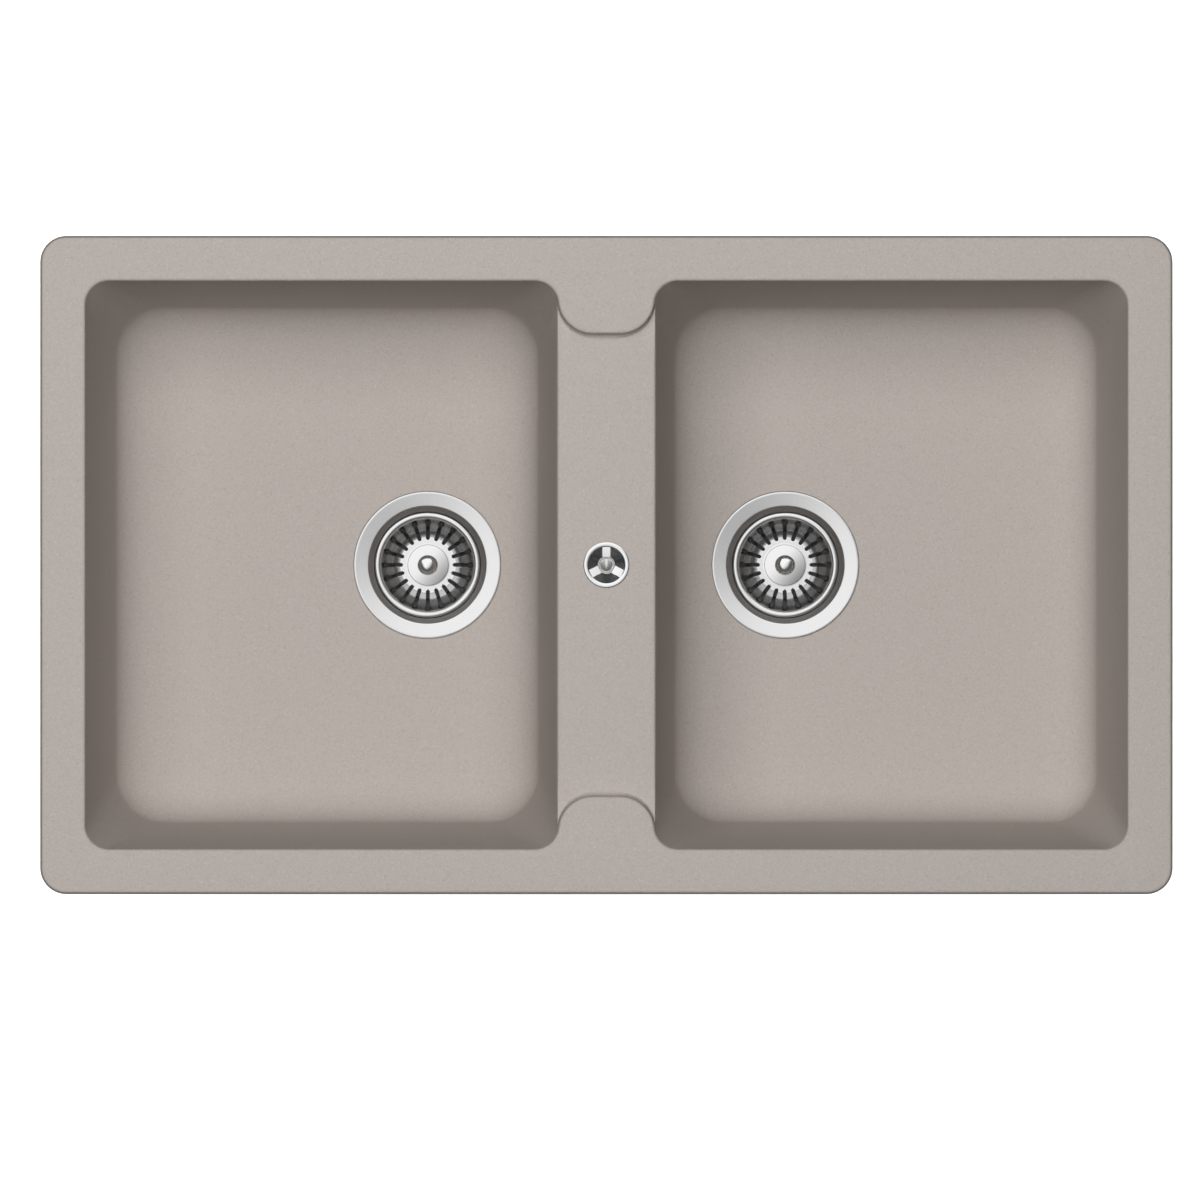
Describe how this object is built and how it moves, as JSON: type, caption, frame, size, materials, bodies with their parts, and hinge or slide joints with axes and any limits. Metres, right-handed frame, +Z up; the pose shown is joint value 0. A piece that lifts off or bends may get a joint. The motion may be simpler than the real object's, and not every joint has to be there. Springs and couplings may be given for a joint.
{
  "type": "double bowl kitchen sink",
  "caption": "Inset composite kitchen sink with two drafted bowls, a lowered overflow divider, basket strainer wastes, worktop clips and joined waste pipes.",
  "frame": {"origin": "middle of the worktop cut-out, on the worktop's top face, which is the plane of the rim's seat", "axes": "+X along the worktop, to the right as the user faces the sink; +Y away from the user, to the wall behind; +Z up"},
  "size_m": [0.86, 0.5, 0.3945],
  "materials": {
    "quartz_composite": "fine speckled quartz and acrylic casting, matt satin",
    "foam_seal": "soft closed cell foam strip",
    "zinc_steel_clip": "zinc plated pressed steel",
    "zinc_steel_screw": "zinc plated screw",
    "nylon_dowel": "natural nylon",
    "white_polypropylene": "satin moulded polypropylene",
    "white_nut_plastic": "satin moulded polypropylene",
    "black_polypropylene": "satin moulded polypropylene",
    "grey_hose": "blow moulded ribbed hose",
    "polished_chrome": "polished chrome plate",
    "stainless_steel": "satin pressed stainless steel",
    "basket_steel": "polished pressed stainless steel",
    "stainless_screw": "turned stainless steel",
    "brass_nut": "turned brass",
    "black_rubber": "moulded rubber",
    "stopper_rubber": "moulded rubber"
  },
  "bodies": {
    "root": {"sink_body": "quartz_composite", "worktop_seal": "foam_seal", "clip_screws": "zinc_steel_screw", "clip_dowels": "nylon_dowel", "outlet_tee": "white_polypropylene", "overflow_rose": "polished_chrome", "overflow_screw": "stainless_screw", "overflow_gasket": "black_rubber", "overflow_body_gasket": "black_rubber", "overflow_body": "black_polypropylene", "overflow_hose": "grey_hose", "hose_clip_top": "zinc_steel_clip", "hose_clip_bottom": "zinc_steel_clip", "flange_gasket_left": "black_rubber", "waste_flange_left": "stainless_steel", "body_gasket_left": "black_rubber", "waste_body_left": "black_polypropylene", "centre_bolt_left": "stainless_screw", "centre_nut_left": "brass_nut", "waste_nut_left": "white_nut_plastic", "waste_nut_seal_left": "black_rubber", "outlet_elbow_left": "white_polypropylene", "tee_nut_left": "white_nut_plastic", "tee_seal_left": "black_rubber", "flange_gasket_right": "black_rubber", "waste_flange_right": "stainless_steel", "body_gasket_right": "black_rubber", "waste_body_right": "black_polypropylene", "centre_bolt_right": "stainless_screw", "centre_nut_right": "brass_nut", "waste_nut_right": "white_nut_plastic", "waste_nut_seal_right": "black_rubber", "outlet_elbow_right": "white_polypropylene", "tee_nut_right": "white_nut_plastic", "tee_seal_right": "black_rubber"},
    "basket_left": {"strainer_basket_left": "basket_steel", "basket_knob_left": "polished_chrome", "basket_stem_left": "stainless_screw", "stopper_seal_left": "stopper_rubber", "seal_washer_left": "stainless_screw"},
    "basket_right": {"strainer_basket_right": "basket_steel", "basket_knob_right": "polished_chrome", "basket_stem_right": "stainless_screw", "stopper_seal_right": "stopper_rubber", "seal_washer_right": "stainless_screw"},
    "clip_1": {"clip_1": "zinc_steel_clip"},
    "clip_2": {"clip_2": "zinc_steel_clip"},
    "clip_3": {"clip_3": "zinc_steel_clip"},
    "clip_4": {"clip_4": "zinc_steel_clip"},
    "clip_5": {"clip_5": "zinc_steel_clip"},
    "clip_6": {"clip_6": "zinc_steel_clip"},
    "clip_7": {"clip_7": "zinc_steel_clip"},
    "clip_8": {"clip_8": "zinc_steel_clip"}
  },
  "joints": [
    {"name": "basket_left_lift", "type": "slide", "parent": "root", "child": "basket_left", "axis": [0, 0, 1], "range_m": [0, 0.26]},
    {"name": "basket_right_lift", "type": "slide", "parent": "root", "child": "basket_right", "axis": [0, 0, 1], "range_m": [0, 0.26]},
    {"name": "clip_1_swivel", "type": "hinge", "parent": "root", "child": "clip_1", "pos_m": [-0.29, 0.23, -0.047], "axis": [0, 0, 1], "range_deg": [0, 90]},
    {"name": "clip_2_swivel", "type": "hinge", "parent": "root", "child": "clip_2", "pos_m": [0, 0.23, -0.047], "axis": [0, 0, 1], "range_deg": [0, 90]},
    {"name": "clip_3_swivel", "type": "hinge", "parent": "root", "child": "clip_3", "pos_m": [0.29, 0.23, -0.047], "axis": [0, 0, 1], "range_deg": [0, 90]},
    {"name": "clip_4_swivel", "type": "hinge", "parent": "root", "child": "clip_4", "pos_m": [0.41, 0, -0.047], "axis": [0, 0, 1], "range_deg": [0, 90]},
    {"name": "clip_5_swivel", "type": "hinge", "parent": "root", "child": "clip_5", "pos_m": [-0.41, 0, -0.047], "axis": [0, 0, 1], "range_deg": [0, 90]},
    {"name": "clip_6_swivel", "type": "hinge", "parent": "root", "child": "clip_6", "pos_m": [-0.29, -0.23, -0.047], "axis": [0, 0, 1], "range_deg": [0, 90]},
    {"name": "clip_7_swivel", "type": "hinge", "parent": "root", "child": "clip_7", "pos_m": [0, -0.23, -0.047], "axis": [0, 0, 1], "range_deg": [0, 90]},
    {"name": "clip_8_swivel", "type": "hinge", "parent": "root", "child": "clip_8", "pos_m": [0.29, -0.23, -0.047], "axis": [0, 0, 1], "range_deg": [0, 90]}
  ]
}
